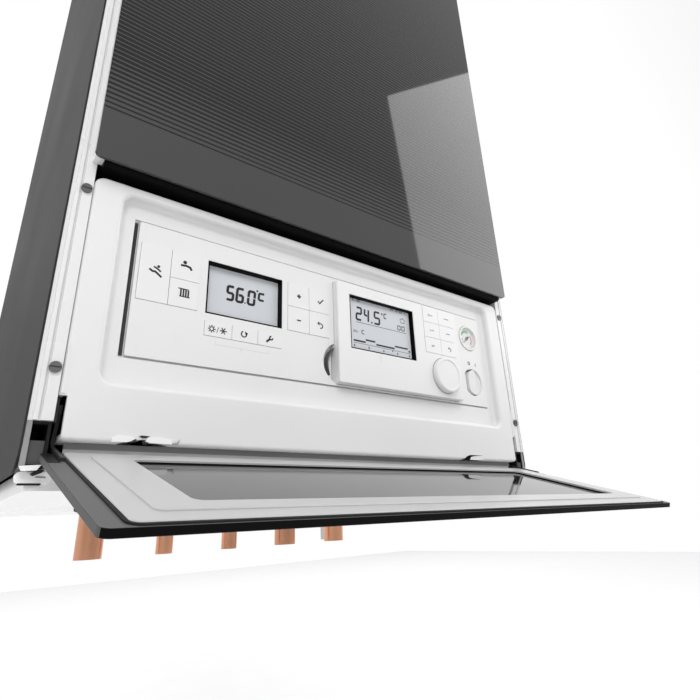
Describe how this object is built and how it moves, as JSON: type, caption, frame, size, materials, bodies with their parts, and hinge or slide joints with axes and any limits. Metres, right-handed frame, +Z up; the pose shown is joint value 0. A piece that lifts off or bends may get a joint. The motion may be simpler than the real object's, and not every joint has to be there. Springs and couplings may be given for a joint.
{
  "type": "gas boiler",
  "caption": "Wall-hung gas boiler with dark glass front, white control panel with displays, keys, knob and gauge, and a fold-down glass flap.",
  "frame": {"origin": "on the wall plane, midway between the two bolt holes of the wall bracket", "axes": "+X to the right seen from the front, +Y back into the wall, +Z up"},
  "size_m": [0.44, 0.4762, 0.926],
  "materials": {
    "dark_paint": "satin",
    "white_paint": "satin",
    "white_plastic": "fine satin",
    "black_plastic": "matt",
    "grey_plastic": "satin",
    "dark_glass": "polished, printed dark behind",
    "clear_lens": "clear",
    "display": "satin",
    "black_paint": "satin",
    "zinc_steel": "zinc plated",
    "cast_aluminium": "as cast",
    "red_paint": "satin",
    "copper_pipe": "bare",
    "needle_black": "gloss"
  },
  "bodies": {
    "casing": {"wall_bracket": "zinc_steel", "back_panel": "zinc_steel", "left_side_panel": "dark_paint", "right_side_panel": "dark_paint", "top_panel": "dark_paint", "bottom_tray": "white_paint", "left_front_rail": "white_paint", "right_front_rail": "white_paint", "rail_screws": "zinc_steel", "corner_guards": "black_plastic", "front_cover": "white_paint", "front_glass": "dark_glass", "cover_lower_trim": "black_plastic", "control_fascia": "white_plastic", "control_insert": "white_plastic", "display_frame": "black_plastic", "boiler_display": "display", "module_dock": "black_plastic", "module_housing": "white_plastic", "module_display": "display", "gauge_case": "white_plastic", "gauge_lens": "clear_lens", "control_box": "black_plastic", "hinge_brackets": "black_paint", "heat_exchanger": "cast_aluminium", "burner_hood": "cast_aluminium", "fan_housing": "cast_aluminium", "gas_valve": "cast_aluminium", "expansion_vessel": "red_paint", "hydraulic_block": "black_plastic", "circulation_pump": "zinc_steel", "plate_heat_exchanger": "zinc_steel", "condensate_trap": "grey_plastic", "internal_pipes": "copper_pipe", "pipe_stubs": "copper_pipe", "flue_duct": "grey_plastic", "flue_adapter": "grey_plastic"},
    "flap": {"flap_frame": "grey_plastic", "flap_glass": "dark_glass", "flap_arms": "black_paint"},
    "knob": {"module_knob": "white_plastic"},
    "needle": {"gauge_needle": "needle_black"},
    "rocker": {"power_rocker": "white_plastic"},
    "impeller": {"fan_impeller": "black_plastic"},
    "key_sweep_body": {"key_sweep": "white_plastic"},
    "key_tap_body": {"key_tap": "white_plastic"},
    "key_radiator_body": {"key_radiator": "white_plastic"},
    "key_season_body": {"key_season": "white_plastic"},
    "key_restart_body": {"key_restart": "white_plastic"},
    "key_service_body": {"key_service": "white_plastic"},
    "key_plus_body": {"key_plus": "white_plastic"},
    "key_accept_body": {"key_accept": "white_plastic"},
    "key_minus_body": {"key_minus": "white_plastic"},
    "key_back_body": {"key_back": "white_plastic"},
    "module_key_1_body": {"module_key_1": "white_plastic"},
    "module_key_2_body": {"module_key_2": "white_plastic"},
    "module_key_3_body": {"module_key_3": "white_plastic"},
    "module_key_4_body": {"module_key_4": "white_plastic"},
    "module_key_5_body": {"module_key_5": "white_plastic"},
    "module_key_6_body": {"module_key_6": "white_plastic"}
  },
  "joints": [
    {"name": "flap_hinge", "type": "hinge", "parent": "casing", "child": "flap", "pos_m": [0, -0.332, -0.7423], "axis": [-1, 0, 0], "range_deg": [0, 106.5]},
    {"name": "knob_turn", "type": "hinge", "parent": "casing", "child": "knob", "pos_m": [0.1105, -0.343, -0.6828], "axis": [0, 1, 0], "continuous": true},
    {"name": "needle_turn", "type": "hinge", "parent": "casing", "child": "needle", "pos_m": [0.159, -0.3365, -0.6347], "axis": [0, 1, 0], "range_deg": [0, 270], "stiffness_Nm_per_rad": 0.0004},
    {"name": "rocker_tilt", "type": "hinge", "parent": "casing", "child": "rocker", "pos_m": [0.159, -0.3265, -0.6817], "axis": [0, 0, -1], "range_deg": [0, 14]},
    {"name": "fan_spin", "type": "hinge", "parent": "casing", "child": "impeller", "pos_m": [0.005, -0.17, -0.081], "axis": [0, 0, 1], "continuous": true},
    {"name": "key_sweep_press", "type": "slide", "parent": "casing", "child": "key_sweep_body", "axis": [0, 1, 0], "range_m": [0, 0.0009], "stiffness_N_per_m": 900},
    {"name": "key_tap_press", "type": "slide", "parent": "casing", "child": "key_tap_body", "axis": [0, 1, 0], "range_m": [0, 0.0009], "stiffness_N_per_m": 900},
    {"name": "key_radiator_press", "type": "slide", "parent": "casing", "child": "key_radiator_body", "axis": [0, 1, 0], "range_m": [0, 0.0009], "stiffness_N_per_m": 900},
    {"name": "key_season_press", "type": "slide", "parent": "casing", "child": "key_season_body", "axis": [0, 1, 0], "range_m": [0, 0.0009], "stiffness_N_per_m": 900},
    {"name": "key_restart_press", "type": "slide", "parent": "casing", "child": "key_restart_body", "axis": [0, 1, 0], "range_m": [0, 0.0009], "stiffness_N_per_m": 900},
    {"name": "key_service_press", "type": "slide", "parent": "casing", "child": "key_service_body", "axis": [0, 1, 0], "range_m": [0, 0.0009], "stiffness_N_per_m": 900},
    {"name": "key_plus_press", "type": "slide", "parent": "casing", "child": "key_plus_body", "axis": [0, 1, 0], "range_m": [0, 0.0009], "stiffness_N_per_m": 900},
    {"name": "key_accept_press", "type": "slide", "parent": "casing", "child": "key_accept_body", "axis": [0, 1, 0], "range_m": [0, 0.0009], "stiffness_N_per_m": 900},
    {"name": "key_minus_press", "type": "slide", "parent": "casing", "child": "key_minus_body", "axis": [0, 1, 0], "range_m": [0, 0.0009], "stiffness_N_per_m": 900},
    {"name": "key_back_press", "type": "slide", "parent": "casing", "child": "key_back_body", "axis": [0, 1, 0], "range_m": [0, 0.0009], "stiffness_N_per_m": 900},
    {"name": "module_key_1_press", "type": "slide", "parent": "casing", "child": "module_key_1_body", "axis": [0, 1, 0], "range_m": [0, 0.0008], "stiffness_N_per_m": 900},
    {"name": "module_key_2_press", "type": "slide", "parent": "casing", "child": "module_key_2_body", "axis": [0, 1, 0], "range_m": [0, 0.0008], "stiffness_N_per_m": 900},
    {"name": "module_key_3_press", "type": "slide", "parent": "casing", "child": "module_key_3_body", "axis": [0, 1, 0], "range_m": [0, 0.0008], "stiffness_N_per_m": 900},
    {"name": "module_key_4_press", "type": "slide", "parent": "casing", "child": "module_key_4_body", "axis": [0, 1, 0], "range_m": [0, 0.0008], "stiffness_N_per_m": 900},
    {"name": "module_key_5_press", "type": "slide", "parent": "casing", "child": "module_key_5_body", "axis": [0, 1, 0], "range_m": [0, 0.0008], "stiffness_N_per_m": 900},
    {"name": "module_key_6_press", "type": "slide", "parent": "casing", "child": "module_key_6_body", "axis": [0, 1, 0], "range_m": [0, 0.0008], "stiffness_N_per_m": 900}
  ]
}
